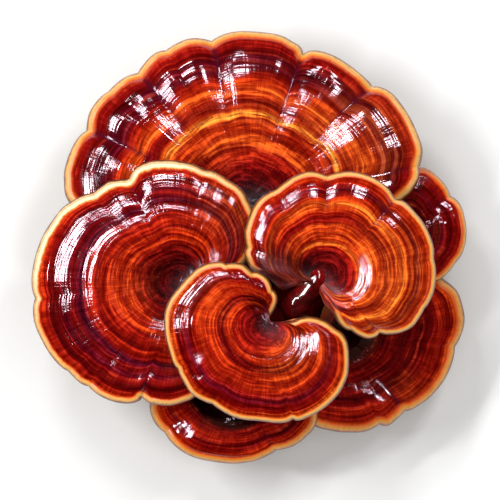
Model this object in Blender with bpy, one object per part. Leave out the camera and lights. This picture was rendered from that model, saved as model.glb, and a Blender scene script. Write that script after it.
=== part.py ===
import bmesh
import bpy
from math import asin, atan2, cos, exp, hypot, pi, radians, sin, sqrt
from mathutils import Matrix, Vector
from mathutils.geometry import interpolate_bezier

# A clump of reishi: seven caps on short stems that grow from one woody base.
# The origin is the middle of the cut under the base, +Z is the way it grew.
# Lengths are millimetres here and become metres through MM.
MM = 0.001
CLUMP_NAME = "reishi"
JOINT_GAP = 0.3

BASE_HEIGHT = 16.0
BASE_WIDTH = 82.0
BASE_TOP_SHARE = 0.84
BASE_BELLY = 0.07
BASE_SIDES = 30
BASE_ROOTS = 5
BASE_ROOT_SWELL = 0.055
BASE_KNOTS = 8
BASE_KNOT_SWELL = 0.03

STEM_WIDTH = 12.5
STEM_FOOT_FLARE = 1.15
STEM_HEAD_FLARE = 1.4
STEM_STRAIGHT = 3.0
STEM_STEPS = 4
STEM_RESOLUTION = 3

# Shares of the way from a cap's growth point to its margin
OUTLINE_STEP = 7.2
TOP_RINGS = (0.16, 0.30, 0.42, 0.54, 0.66, 0.78, 0.88, 0.95)
UNDER_RINGS = (0.25, 0.52, 0.78, 0.95)
CREST_AT = 0.60
RIDGE_PITCH = 0.24
RIDGE_START = 0.30
RIDGE_HEIGHT = 0.6
FURROW_START = 0.38
FURROW_WIDTH = 5.0
UNDER_FURROW_FADE = 6
FULL_DOME_RADIUS = 38.0

# Each cap: growth point and the height of its top there, the lean (degrees, and the heading it
# leans to), the stem's foot on the base and the points it bends through, and the outline as lobes.
# A lobe runs from one nick in the margin to the next, counterclockwise from the notch at the stem.
CAPS = {
    "back": {
        "growth_point": (-9, 31.5), "height": 64, "lean": 7, "heading": 88,
        "crest": 4.0, "droop": 7.0, "middle": 10.0, "rim": 5.0, "furrow": 2.6,
        "stem_foot": (-8, 23), "stem_bends": (), "color": (0.33, 0.035, 0.010),
        "lobes": (
            ((-8, 22), (5, 17), (28, 14), (52, 21), (68.5, 34), (73, 39), (75.5, 44)),
            ((75.5, 49.5), (77, 54), (77, 60.5), (72, 73), (65.5, 83), (61, 87.5), (56, 90)),
            ((52.5, 90), (50.5, 93), (42, 100), (34, 105), (27, 107.5), (22, 108)),
            ((18.5, 106.5), (17, 110), (13, 112.5), (7, 115.5), (-2, 117), (-13, 117.5), (-21, 116)),
            ((-27, 113), (-33, 114), (-39, 113.5), (-45, 111)),
            ((-49.5, 108), (-54, 107), (-58, 104), (-61.5, 100)),
            ((-63.5, 97), (-69, 95), (-74, 91.5)),
            ((-78, 87.5), (-82, 84.5), (-86, 79.5), (-88, 75)),
            ((-89, 68), (-94, 63), (-98.5, 53), (-100, 43), (-97, 31.5), (-80, 18), (-50, 12), (-22, 14)),
        ),
    },
    "left": {
        "growth_point": (-42, -7), "height": 79.5, "lean": 6, "heading": 190,
        "crest": 3.5, "droop": 5.0, "middle": 9.5, "rim": 5.0, "furrow": 2.2,
        "stem_foot": (-25, -3), "stem_bends": (), "color": (0.30, 0.028, 0.010),
        "lobes": (
            ((-35, -15), (-29, -9.5), (-19, -6), (-10, 2), (-5, 13), (-5, 23), (-8, 31), (-12, 38),
             (-19, 43), (-26, 47)),
            ((-30, 47.5), (-36, 50.5), (-43, 52), (-51, 52.5), (-59, 51.5), (-65, 48.5)),
            ((-68.5, 42), (-73, 43), (-79, 41.5), (-84, 38)),
            ((-86.5, 36), (-90, 35.5), (-96, 32.5), (-103, 27), (-112, 13), (-116.5, -4)),
            ((-115, -16), (-116, -22), (-115, -29), (-112, -36), (-108, -43), (-103, -49)),
            ((-98.5, -52), (-93, -57.5)),
            ((-88.5, -59.5), (-83, -64), (-76, -67), (-69, -68), (-64, -67)),
            ((-62, -62), (-60, -66.5), (-57, -68), (-48, -69), (-40, -67), (-35, -64.5), (-30, -59.5),
             (-26.5, -49.5), (-28, -37), (-32, -24.5)),
        ),
    },
    "right": {
        "growth_point": (28, -1), "height": 91, "lean": 5, "heading": 345,
        "crest": 3.5, "droop": 4.5, "middle": 8.5, "rim": 4.5, "furrow": 2.0,
        "stem_foot": (10, -11), "stem_bends": ((8, -23, 42), (12, -21, 64)), "color": (0.34, 0.032, 0.010),
        "lobes": (
            ((24, -8), (27, -12), (28, -18), (31, -21), (33, -23.5), (35.5, -28), (38.5, -31)),
            ((42, -32), (46, -34.5), (52, -36)),
            ((56, -31), (59.5, -34), (65.5, -33), (72, -30.5), (76, -25.5)),
            ((78.5, -21), (80.5, -18.5), (83, -13), (84, -7), (84, -1)),
            ((83, 4), (83, 9.5), (81, 15.5), (78, 21.5), (73.5, 27), (68.5, 32)),
            ((64, 33), (63, 35), (59.5, 39.5), (53, 44), (45.5, 46.5), (38.5, 47), (32, 45.5)),
            ((30, 44.5), (27, 46), (22, 47), (15.5, 45.5), (9.5, 42)),
            ((4.5, 38), (1, 36.5), (-3, 34), (-6.5, 29.5), (-9, 24), (-11, 17), (-10.5, 12)),
            ((-10, 9.5), (-11, 6.5), (-9.5, 2), (-7, -2), (2, -7), (7, -11.5), (13, -10.5), (19, -8.5)),
        ),
    },
    "front": {
        "growth_point": (-4, -30), "height": 103, "lean": 4, "heading": 255,
        "crest": 3.5, "droop": 4.5, "middle": 8.5, "rim": 4.5, "furrow": 2.0,
        "stem_foot": (-8, -12), "stem_bends": ((-9, -21, 56),), "color": (0.34, 0.030, 0.010),
        "lobes": (
            ((2, -25.5), (4, -22), (5.5, -17), (5, -13)),
            ((3, -11), (1, -6), (-3, -3)),
            ((-7, -2.5), (-8, -1.5), (-12, 1.5), (-17, 2)),
            ((-20, 1.5), (-24.5, 2.5), (-33, 0), (-41.5, -8), (-49, -18.5), (-50.5, -31), (-47, -45.5)),
            ((-44, -50.5), (-42, -55.5), (-37, -63), (-30.5, -67)),
            ((-27, -68), (-20.5, -72.5), (-13, -75.5), (-4, -76.5), (7, -77.5)),
            ((13, -75.5), (17, -76), (25.5, -72), (32, -67), (37, -61), (40.5, -52), (40.5, -39.5),
             (38, -33.5), (34.5, -29.5), (29.5, -26), (23.5, -24.5), (18.5, -24.5), (12, -26), (6, -27.5)),
        ),
    },
    "bottom": {
        "growth_point": (-15, -56), "height": 53, "lean": 7, "heading": 262,
        "crest": 3.0, "droop": 4.5, "middle": 9.0, "rim": 5.0, "furrow": 2.0,
        "stem_foot": (-5, -28), "stem_bends": (), "color": (0.33, 0.035, 0.010),
        "lobes": (
            ((-11.5, -50), (-22, -47), (-35.5, -49.5), (-48, -56), (-55.5, -63), (-58, -70), (-55.5, -78)),
            ((-50.5, -83), (-45.5, -89.5), (-38, -94.5), (-29.5, -97), (-17, -98.5), (-7, -97.5), (0, -95)),
            ((4, -90.5), (8, -91), (14.5, -89), (20.5, -84.5), (24.5, -79.5), (26, -73), (25, -64.5),
             (19.5, -57), (9.5, -51), (-2, -48)),
        ),
    },
    "lower_right": {
        "growth_point": (34.5, -32), "height": 42, "lean": 7, "heading": 322,
        "crest": 3.0, "droop": 4.5, "middle": 9.0, "rim": 5.5, "furrow": 2.2,
        "stem_foot": (24, -18), "stem_bends": (), "color": (0.28, 0.025, 0.010),
        "lobes": (
            ((26, -28), (16, -42), (11, -52), (11, -63), (16, -73), (24, -79.5), (32, -82), (40.5, -83),
             (49.5, -82.5)),
            ((56.5, -79), (61, -79.5), (65, -76.5)),
            ((68, -70.5), (75.5, -69.5), (82, -63), (88, -55.5), (92.5, -47)),
            ((94.5, -40.5), (97.5, -34.5), (99, -28), (98.5, -22), (95.5, -13), (89, -7), (80, -1),
             (65, 1), (45, -3), (32, -14)),
        ),
    },
    "far_right": {
        "growth_point": (63, 17), "height": 52, "lean": 8, "heading": 5,
        "crest": 2.5, "droop": 4.0, "middle": 8.5, "rim": 4.5, "furrow": 2.0,
        "stem_foot": (28, 4), "stem_bends": (), "color": (0.25, 0.022, 0.010),
        "lobes": (
            ((54.5, 13), (57, 4), (64.5, -4.5), (74.5, -9), (84.5, -8), (90.5, -3.5), (94.5, 1.5),
             (98, 6.5), (100, 14.5), (99.5, 22), (97, 30.5)),
            ((92, 35), (90, 39.5), (86, 44), (81, 48), (76, 49), (67, 45.5), (59.5, 35.5), (56, 22)),
        ),
    },
}


def clear_scene():
    for old in list(bpy.data.objects):
        bpy.data.objects.remove(old, do_unlink=True)


def new_collection(name):
    collection = bpy.data.collections.new(name)
    bpy.context.scene.collection.children.link(collection)
    return collection


def lacquer(name, color, roughness):
    material = bpy.data.materials.new(name)
    material.use_nodes = True
    shader = material.node_tree.nodes["Principled BSDF"]
    shader.inputs["Base Color"].default_value = (*color, 1.0)
    shader.inputs["Roughness"].default_value = roughness
    shader.inputs["Metallic"].default_value = 0.0
    return material


def smooth_step(value):
    value = min(1.0, max(0.0, value))
    return value * value * (3.0 - 2.0 * value)


def curve_through(points, step):
    # A smooth curve through one lobe's points, without its last point
    before = 2 * points[0] - points[1]
    after = 2 * points[-1] - points[-2]
    if len(points) > 2:
        before = 3 * points[0] - 3 * points[1] + points[2]
        after = 3 * points[-1] - 3 * points[-2] + points[-3]
    knots = [before, *points, after]
    dense = []
    for start in range(1, len(knots) - 2):
        out_handle = knots[start] + (knots[start + 1] - knots[start - 1]) / 6
        in_handle = knots[start + 1] - (knots[start + 2] - knots[start]) / 6
        dense += interpolate_bezier(knots[start], out_handle, in_handle, knots[start + 1], 12)[:-1]
    dense.append(points[-1])
    lengths = [0.0]
    for here, there in zip(dense, dense[1:]):
        lengths.append(lengths[-1] + (there - here).length)
    count = max(2, round(lengths[-1] / step))
    samples = []
    place = 0
    for index in range(count):
        wanted = lengths[-1] * index / count
        while lengths[place + 1] < wanted:
            place += 1
        share = (wanted - lengths[place]) / (lengths[place + 1] - lengths[place])
        samples.append(dense[place].lerp(dense[place + 1], share))
    return samples


def cap_outline(cap):
    # Outline points from the growth point, and each one's distance along it to the nearest nick
    growth_point = Vector((*cap["growth_point"], 0))
    lobes = [[Vector((*point, 0)) - growth_point for point in lobe] for lobe in cap["lobes"]]
    outline = []
    to_nick = []
    for lobe, following in zip(lobes, lobes[1:] + lobes[:1]):
        samples = curve_through(lobe + [following[0]], OUTLINE_STEP)
        ends = [lobe[0], following[0]]
        outline += samples
        to_nick += [min((sample - end).length for end in ends) for sample in samples]
    return outline, to_nick


def dome_height(cap, share, reach):
    # The sunk middle rises to a broad crest, then rolls down to the margin
    height = cap["crest"] * smooth_step(share / CREST_AT)
    height -= cap["droop"] * max(0.0, (share - CREST_AT) / (1 - CREST_AT)) ** 2
    return height * smooth_step(reach / FULL_DOME_RADIUS)


def furrow_depth(cap, share, reach, to_nick):
    # Furrows run from the nicks towards the growth point and fade out
    depth = cap["furrow"] * exp(-(to_nick * share / FURROW_WIDTH) ** 2)
    depth *= smooth_step((share - FURROW_START) / (1 - FURROW_START))
    return depth * smooth_step(reach / FULL_DOME_RADIUS)


def ridge_height(share, reach):
    # Broad growth ridges round the top
    if share < RIDGE_START:
        return 0.0
    height = -RIDGE_HEIGHT * cos(2 * pi * (share - RIDGE_START) / RIDGE_PITCH)
    return height * smooth_step(reach / FULL_DOME_RADIUS)


def cap_thickness(cap, share):
    return cap["rim"] + (cap["middle"] - cap["rim"]) * (1 - share ** 1.5)


def margin_rounding(cap, share, reach):
    # How far each face has drawn in towards the middle of the rounded margin
    radius = cap["rim"] / 2
    inward = min(1.0, (1 - share) * reach / radius)
    return radius * (1 - sqrt(1 - (1 - inward) ** 2))


def cap_mesh(cap):
    # A sphere whose meridians become the growth lines and whose parallels become the rings
    outline, to_nick = cap_outline(cap)
    columns = len(outline)
    rings = [(0.0, False), *((share, False) for share in UNDER_RINGS), (1.0, True)]
    rings += [*((share, True) for share in reversed(TOP_RINGS)), (0.0, True)]
    bands = len(rings) - 1
    bm = bmesh.new()
    bmesh.ops.create_uvsphere(bm, u_segments=columns, v_segments=bands, radius=1.0)
    for vert in bm.verts:
        column = round(atan2(vert.co.y, vert.co.x) / (2 * pi) * columns) % columns
        band = round((asin(max(-1.0, min(1.0, vert.co.z))) / pi + 0.5) * bands)
        share, upper = rings[band]
        reach = outline[column].length
        nick = to_nick[column]
        if share == 0.0:
            reach = FULL_DOME_RADIUS
            nick = FULL_DOME_RADIUS
        height = dome_height(cap, share, reach)
        furrow = furrow_depth(cap, share, reach, nick)
        if upper:
            height += ridge_height(share, reach) - furrow - margin_rounding(cap, share, reach)
        else:
            height += margin_rounding(cap, share, reach) - cap_thickness(cap, share)
            height -= furrow * share ** UNDER_FURROW_FADE
        vert.co = (outline[column] * share + Vector((0, 0, height))) * MM
    mesh = bpy.data.meshes.new("cap")
    bm.to_mesh(mesh)
    bm.free()
    return mesh


def lean_turn(cap):
    # Leaning lowers the side of the cap that the heading points to
    heading = radians(cap["heading"])
    axis = Vector((-sin(heading), cos(heading), 0))
    return Matrix.Rotation(radians(cap["lean"]), 3, axis)


def add_cap(collection, clump, name, cap):
    mesh = cap_mesh(cap)
    obj = bpy.data.objects.new("cap_" + name, mesh)
    obj.location = Vector((*cap["growth_point"], cap["height"])) * MM
    obj.rotation_euler = lean_turn(cap).to_euler()
    obj.parent = clump
    mesh.materials.append(lacquer("lacquered_cap_" + name, cap["color"], 0.22))
    mesh.shade_smooth()
    mesh.set_sharp_from_angle(angle=radians(60))
    collection.objects.link(obj)


def stem_path(cap):
    # From the base's flat top through the bends to the flat under the cap's growth point
    up = Vector((0, 0, 1))
    cap_axis = lean_turn(cap) @ up
    foot = Vector((*cap["stem_foot"], BASE_HEIGHT + JOINT_GAP))
    under = Vector((*cap["growth_point"], cap["height"])) - cap_axis * (cap["middle"] + JOINT_GAP)
    lower = foot + up * STEM_STRAIGHT
    upper = under - cap_axis * STEM_STRAIGHT
    keys = [lower, *(Vector(bend) for bend in cap["stem_bends"]), upper]
    tangents = [up * (keys[1] - keys[0]).length]
    tangents += [(after - before) / 2 for before, after in zip(keys, keys[2:])]
    tangents.append(cap_axis * (keys[-1] - keys[-2]).length)
    path = [foot]
    for index in range(len(keys) - 1):
        out_handle = keys[index] + tangents[index] / 3
        in_handle = keys[index + 1] - tangents[index + 1] / 3
        path += interpolate_bezier(keys[index], out_handle, in_handle, keys[index + 1], STEM_STEPS)[:-1]
    return path + [upper, under]


def stem_swell(share):
    # Widest where it leaves the base and where it opens into the cap
    foot = (STEM_FOOT_FLARE - 1) * (1 - smooth_step(share / 0.35))
    head = (STEM_HEAD_FLARE - 1) * smooth_step((share - 0.65) / 0.35)
    return 1 + foot + head


def add_stem(collection, clump, name, cap):
    path = stem_path(cap)
    curve = bpy.data.curves.new("stem_" + name, "CURVE")
    curve.dimensions = "3D"
    curve.bevel_depth = STEM_WIDTH / 2 * MM
    curve.bevel_resolution = STEM_RESOLUTION
    curve.use_fill_caps = True
    spline = curve.splines.new("POLY")
    spline.points.add(len(path) - 1)
    for index, (point, place) in enumerate(zip(spline.points, path)):
        point.co = (*(place * MM), 1.0)
        point.radius = stem_swell(index / (len(path) - 1))
    obj = bpy.data.objects.new("stem_" + name, curve)
    obj.parent = clump
    curve.materials.append(lacquer("dark_stem_" + name, (0.09, 0.010, 0.008), 0.25))
    collection.objects.link(obj)


def add_base(collection, clump):
    # A low burl with swollen roots: flat on top for the stems, cut flat underneath
    bm = bmesh.new()
    made = bmesh.ops.create_cone(
        bm, cap_ends=True, cap_tris=False, segments=BASE_SIDES,
        radius1=BASE_WIDTH / 2 * MM, radius2=BASE_WIDTH / 2 * BASE_TOP_SHARE * MM,
        depth=BASE_HEIGHT * MM)
    bmesh.ops.translate(bm, verts=made["verts"], vec=(0, 0, BASE_HEIGHT / 2 * MM))
    upright = [edge for edge in bm.edges if abs(edge.verts[0].co.z - edge.verts[1].co.z) > MM]
    bmesh.ops.subdivide_edges(bm, edges=upright, cuts=3, use_grid_fill=True)
    for vert in bm.verts:
        turn = atan2(vert.co.y, vert.co.x)
        level = vert.co.z / (BASE_HEIGHT * MM)
        swell = BASE_ROOT_SWELL * (1 - 0.6 * level) * cos(BASE_ROOTS * turn + 0.7)
        swell += BASE_KNOT_SWELL * cos(BASE_KNOTS * turn + 2.0 + 1.5 * level)
        swell += BASE_BELLY * sin(pi * level)
        vert.co.x *= 1 + swell
        vert.co.y *= 1 + swell
    mesh = bpy.data.meshes.new("base")
    bm.to_mesh(mesh)
    bm.free()
    obj = bpy.data.objects.new("base", mesh)
    obj.parent = clump
    mesh.materials.append(lacquer("woody_base", (0.10, 0.045, 0.020), 0.7))
    mesh.shade_smooth()
    mesh.set_sharp_from_angle(angle=radians(45))
    collection.objects.link(obj)


def build_clump():
    clear_scene()
    collection = new_collection(CLUMP_NAME)
    clump = bpy.data.objects.new("clump", None)
    collection.objects.link(clump)
    add_base(collection, clump)
    for name, cap in CAPS.items():
        add_stem(collection, clump, name, cap)
        add_cap(collection, clump, name, cap)


build_clump()
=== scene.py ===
import math
import bmesh
import bpy
import numpy as np
from mathutils import Matrix, Vector


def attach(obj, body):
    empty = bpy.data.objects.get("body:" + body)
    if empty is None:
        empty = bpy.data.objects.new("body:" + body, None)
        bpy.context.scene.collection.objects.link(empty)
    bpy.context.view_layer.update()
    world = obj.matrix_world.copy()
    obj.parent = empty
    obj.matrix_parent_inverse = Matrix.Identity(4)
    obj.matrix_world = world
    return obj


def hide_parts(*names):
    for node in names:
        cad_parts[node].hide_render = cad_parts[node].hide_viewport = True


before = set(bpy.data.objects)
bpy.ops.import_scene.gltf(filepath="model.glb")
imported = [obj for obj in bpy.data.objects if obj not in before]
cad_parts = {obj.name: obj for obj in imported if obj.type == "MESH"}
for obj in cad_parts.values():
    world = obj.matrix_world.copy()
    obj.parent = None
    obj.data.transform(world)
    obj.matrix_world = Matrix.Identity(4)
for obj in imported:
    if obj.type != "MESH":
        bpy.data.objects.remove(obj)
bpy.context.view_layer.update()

print("reishi clump: frame loaded")

mm = 0.001

# The maker's colours, linear values
palette = {
    "blackRed": (0.011, 0.0010, 0.0012),
    "maroon": (0.046, 0.0020, 0.0024),
    "oxblood": (0.140, 0.0030, 0.0030),
    "crimson": (0.300, 0.0060, 0.0040),
    "ember": (0.500, 0.018, 0.0032),
    "redOrange": (0.700, 0.050, 0.0045),
    "flame": (0.800, 0.098, 0.0085),
    "orange": (0.860, 0.175, 0.0150),
    "amber": (0.640, 0.180, 0.0160),
    "gold": (0.800, 0.320, 0.0380),
    "honey": (0.840, 0.410, 0.0780),
    "paleHoney": (0.880, 0.560, 0.200),
    "cream": (0.900, 0.740, 0.450),
    "wine": (0.165, 0.0045, 0.0160),
    "shade": (0.16, 0.10, 0.16),
    "plum": (0.060, 0.0035, 0.0140),
    "paleGlint": (0.42, 0.38, 0.50),
    "edgeBrownAndShade": (0.190, 0.070, 0.022),
    "pores": (0.580, 0.440, 0.250),
    "poreShade": (0.300, 0.170, 0.070),
    "bark": (0.110, 0.040, 0.016),
    "barkDark": (0.028, 0.010, 0.006),
    "cutFlesh": (0.420, 0.250, 0.120),
}


def colour(name):
    return (*palette[name], 1.0)


# Smooth steps and seeded value noise, for moving vertices
def smoothStep(low, high, value):
    share = np.clip((value - low) / (high - low), 0, 1)
    return share * share * (3 - 2 * share)


def softCurve(value, knots):
    # A curve through the knots that doesn't overshoot them
    xs = np.array([knot[0] for knot in knots], float)
    ys = np.array([knot[1] for knot in knots], float)
    steps = np.diff(ys) / np.diff(xs)
    slopes = np.zeros(len(xs))
    rising = steps[:-1] * steps[1:] > 0
    slopes[1:-1][rising] = 2 * steps[:-1][rising] * steps[1:][rising] / (steps[:-1] + steps[1:])[rising]
    slopes[-1] = steps[-1]
    spot = np.clip(np.searchsorted(xs, value, side="right") - 1, 0, len(xs) - 2)
    width = xs[spot + 1] - xs[spot]
    t = np.clip((value - xs[spot]) / width, 0, 1)
    a = (1 + 2 * t) * (1 - t) ** 2 * ys[spot] + t * (1 - t) ** 2 * width * slopes[spot]
    b = t * t * (3 - 2 * t) * ys[spot + 1] + t * t * (t - 1) * width * slopes[spot + 1]
    return a + b


def valueNoise(x, y, seed):
    # Smooth noise between -1 and 1 over a plane, the same each run
    size = 64
    table = np.random.default_rng(seed).uniform(-1, 1, (size, size))
    x0 = np.floor(x).astype(int)
    y0 = np.floor(y).astype(int)
    tx = smoothStep(0, 1, x - x0)
    ty = smoothStep(0, 1, y - y0)
    low = table[x0 % size, y0 % size] * (1 - tx) + table[(x0 + 1) % size, y0 % size] * tx
    high = table[x0 % size, (y0 + 1) % size] * (1 - tx) + table[(x0 + 1) % size, (y0 + 1) % size] * tx
    return low * (1 - ty) + high * ty


def planNoise(points, size, shift, seed):
    return valueNoise(points[:, 0] / size + shift, points[:, 1] / size + shift, seed)


# Shader helpers
def addNode(tree, kind, **values):
    node = tree.nodes.new(kind)
    for name, value in values.items():
        setattr(node, name, value)
    return node


def plug(tree, socket, value):
    if isinstance(value, bpy.types.NodeSocket):
        tree.links.new(value, socket)
    else:
        socket.default_value = value


def mathNode(tree, operation, a, b=0.0):
    node = addNode(tree, "ShaderNodeMath", operation=operation)
    plug(tree, node.inputs[0], a)
    plug(tree, node.inputs[1], b)
    return node.outputs[0]


def times(tree, first, *others):
    for value in others:
        first = mathNode(tree, "MULTIPLY", first, value)
    return first


def plus(tree, first, *others):
    for value in others:
        first = mathNode(tree, "ADD", first, value)
    return first


def opposite(tree, mask):
    return mathNode(tree, "SUBTRACT", 1.0, mask)


def vectorNode(tree, operation, vector, value):
    # The value is a factor for SCALE and a vector for ADD
    node = addNode(tree, "ShaderNodeVectorMath", operation=operation)
    plug(tree, node.inputs[0], vector)
    plug(tree, node.inputs["Scale" if operation == "SCALE" else 1], value)
    return node.outputs[0]


def rangeNode(tree, value, fromLow, fromHigh, toLow, toHigh, smooth=False):
    node = addNode(tree, "ShaderNodeMapRange", interpolation_type="SMOOTHSTEP" if smooth else "LINEAR")
    plug(tree, node.inputs["Value"], value)
    for name, number in zip(("From Min", "From Max", "To Min", "To Max"), (fromLow, fromHigh, toLow, toHigh)):
        plug(tree, node.inputs[name], number)
    return node.outputs["Result"]


def mixColour(tree, factor, a, b, blend="MIX"):
    node = addNode(tree, "ShaderNodeMix", data_type="RGBA", blend_type=blend)
    plug(tree, node.inputs["Factor"], factor)
    plug(tree, node.inputs[6], a)
    plug(tree, node.inputs[7], b)
    return node.outputs[2]


def noiseNode(tree, place, scale, detail=2.0, roughness=0.5):
    node = addNode(tree, "ShaderNodeTexNoise", noise_dimensions="3D")
    plug(tree, node.inputs["Vector"], place)
    plug(tree, node.inputs["Scale"], scale)
    node.inputs["Detail"].default_value = detail
    node.inputs["Roughness"].default_value = roughness
    return node.outputs["Fac"]


def attribute(tree, name, output="Fac"):
    node = addNode(tree, "ShaderNodeAttribute", attribute_name=name, attribute_type="GEOMETRY")
    return node.outputs[output]


def objectPlace(tree):
    return addNode(tree, "ShaderNodeTexCoord").outputs["Object"]


def upward(tree, value):
    node = addNode(tree, "ShaderNodeCombineXYZ")
    plug(tree, node.inputs["Z"], value)
    return node.outputs[0]


def rampNode(tree, value, stops):
    node = addNode(tree, "ShaderNodeValToRGB")
    elements = node.color_ramp.elements
    for element, (place, name) in zip(elements, (stops[0], stops[-1])):
        element.position = place
        element.color = colour(name)
    for place, name in stops[1:-1]:
        elements.new(place).color = colour(name)
    plug(tree, node.inputs["Fac"], value)
    return node.outputs["Color"]


def raiseRelief(tree, shader, height, depth):
    # Relief that the mesh doesn't carry, its depth in millimetres
    bump = addNode(tree, "ShaderNodeBump")
    bump.inputs["Distance"].default_value = depth * mm
    plug(tree, bump.inputs["Height"], height)
    plug(tree, shader.inputs["Normal"], bump.outputs[0])


def newGroup(name, inputs, outputs):
    tree = bpy.data.node_groups.new(name, "ShaderNodeTree")
    for label, kind in inputs.items():
        tree.interface.new_socket(name=label, in_out="INPUT", socket_type="NodeSocket" + kind)
    for label, kind in outputs.items():
        tree.interface.new_socket(name=label, in_out="OUTPUT", socket_type="NodeSocket" + kind)
    return tree, tree.nodes.new("NodeGroupInput"), tree.nodes.new("NodeGroupOutput")


def placeGroup(tree, group, **values):
    node = tree.nodes.new("ShaderNodeGroup")
    node.node_tree = group
    for name, value in values.items():
        plug(tree, node.inputs[name], value)
    return node.outputs


def patternGroup(name, ringed, layers, roughness, spread, thinLayer, thinWidth):
    # Noise drawn out along the margin makes growth rings, and drawn out the other way growth lines.
    # Each layer has its scale along the margin, its scale along the growth and its detail
    tree, source, target = newGroup(
        name, {"Growth": "Float", "Margin": "Vector", "Density": "Float", "Seed": "Float"},
        dict.fromkeys([*layers, "Thin"], "Float"))
    given = source.outputs
    for label, (alongMargin, alongGrowth, detail) in layers.items():
        if ringed:
            alongGrowth = times(tree, given["Density"], alongGrowth)
        else:
            alongMargin = times(tree, given["Density"], alongMargin)
        lift = upward(tree, plus(tree, times(tree, given["Growth"], alongGrowth), given["Seed"]))
        place = vectorNode(tree, "ADD", vectorNode(tree, "SCALE", given["Margin"], alongMargin), lift)
        noise = noiseNode(tree, place, 1.0, detail, roughness)
        plug(tree, target.inputs[label], rangeNode(tree, noise, 0.5 - spread, 0.5 + spread, 0.0, 1.0))
        if label == thinLayer:
            fromMiddle = mathNode(tree, "ABSOLUTE", mathNode(tree, "SUBTRACT", noise, 0.5))
            plug(tree, target.inputs["Thin"], rangeNode(tree, fromMiddle, 0.005, thinWidth, 1.0, 0.0))
    return tree


ringGroup = patternGroup("growthRings", True, {"Broad": (0.10, 0.36, 2.0), "Fine": (0.22, 1.0, 2.0)},
                         0.65, 0.20, "Fine", 0.045)
streakGroup = patternGroup("growthLines", False, {"Lines": (1.0, 5.0, 2.0), "Patches": (0.32, 9.0, 1.5)},
                           0.6, 0.18, "Lines", 0.04)


def newMaterial(name):
    material = bpy.data.materials.new(name)
    material.use_nodes = True
    tree = material.node_tree
    tree.nodes.clear()
    output = tree.nodes.new("ShaderNodeOutputMaterial")
    shader = tree.nodes.new("ShaderNodeBsdfPrincipled")
    tree.links.new(shader.outputs["BSDF"], output.inputs["Surface"])
    return material, tree, shader


# The lacquer on the caps: lamps mirror white, with a touch of lilac in what is fainter
lacquer = {
    "ior": 1.6, "level": 0.6, "tint": (0.95, 0.78, 0.90, 1.0),
    "polished": 0.09, "matt": 0.62, "onLip": 0.45, "onDarkLip": 0.3, "reliefDepth": 0.06,
}
# Lip ramps from the very edge inwards: the dark edge is partly painted shade and the pale band partly painted
# highlight of the rounded rim
creamLipStops = [(0.0, "bark"), (0.07, "edgeBrownAndShade"), (0.11, "honey"), (0.14, "cream"), (0.20, "honey"),
                 (0.24, "cream"), (0.42, "cream"), (0.49, "honey"), (0.55, "flame"), (0.66, "ember"),
                 (1.0, "crimson")]
honeyLipStops = [(0.0, "bark"), (0.09, "edgeBrownAndShade"), (0.14, "amber"), (0.23, "honey"), (0.31, "paleHoney"),
                 (0.38, "honey"), (0.46, "gold"), (0.53, "orange"), (0.64, "redOrange"), (1.0, "ember")]
amberLipStops = [(0.0, "bark"), (0.07, "edgeBrownAndShade"), (0.12, "amber"), (0.20, "honey"), (0.28, "paleHoney"),
                 (0.36, "honey"), (0.44, "gold"), (0.55, "orange"), (0.68, "flame"), (0.84, "redOrange"),
                 (1.0, "ember")]
rustLipStops = [(0.0, "bark"), (0.09, "edgeBrownAndShade"), (0.16, "amber"), (0.24, "gold"), (0.32, "honey"),
                (0.40, "gold"), (0.50, "orange"), (0.62, "flame"), (0.80, "redOrange"), (1.0, "ember")]


def ringedSkin(tree, cap, growth, margin, rings):
    # The cap's own rings, a little uneven, then its warm patches, partly painted highlight, and its dark
    # patches, most of them painted shade
    sway = rangeNode(tree, noiseNode(tree, margin, 0.35, 2.0), 0.3, 0.7, -cap["ringSway"], cap["ringSway"])
    broadJitter = rangeNode(tree, rings["Broad"], 0, 1, -0.013, 0.013)
    fineJitter = rangeNode(tree, rings["Fine"], 0, 1, -0.009, 0.009)
    skin = rampNode(tree, plus(tree, growth, sway, broadJitter, fineJitter), cap["rings"])
    warmth = attribute(tree, "warmth")
    warmer = mixColour(tree, 0.55, skin, colour("orange"), "SCREEN")
    skin = mixColour(tree, rangeNode(tree, warmth, 0.0, 1.0, 0.0, 0.85), skin, warmer)
    darker = mixColour(tree, 1.0, skin, colour("shade"), "MULTIPLY")
    return mixColour(tree, rangeNode(tree, warmth, -1.0, 0.0, 0.9, 0.0), skin, darker)


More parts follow.
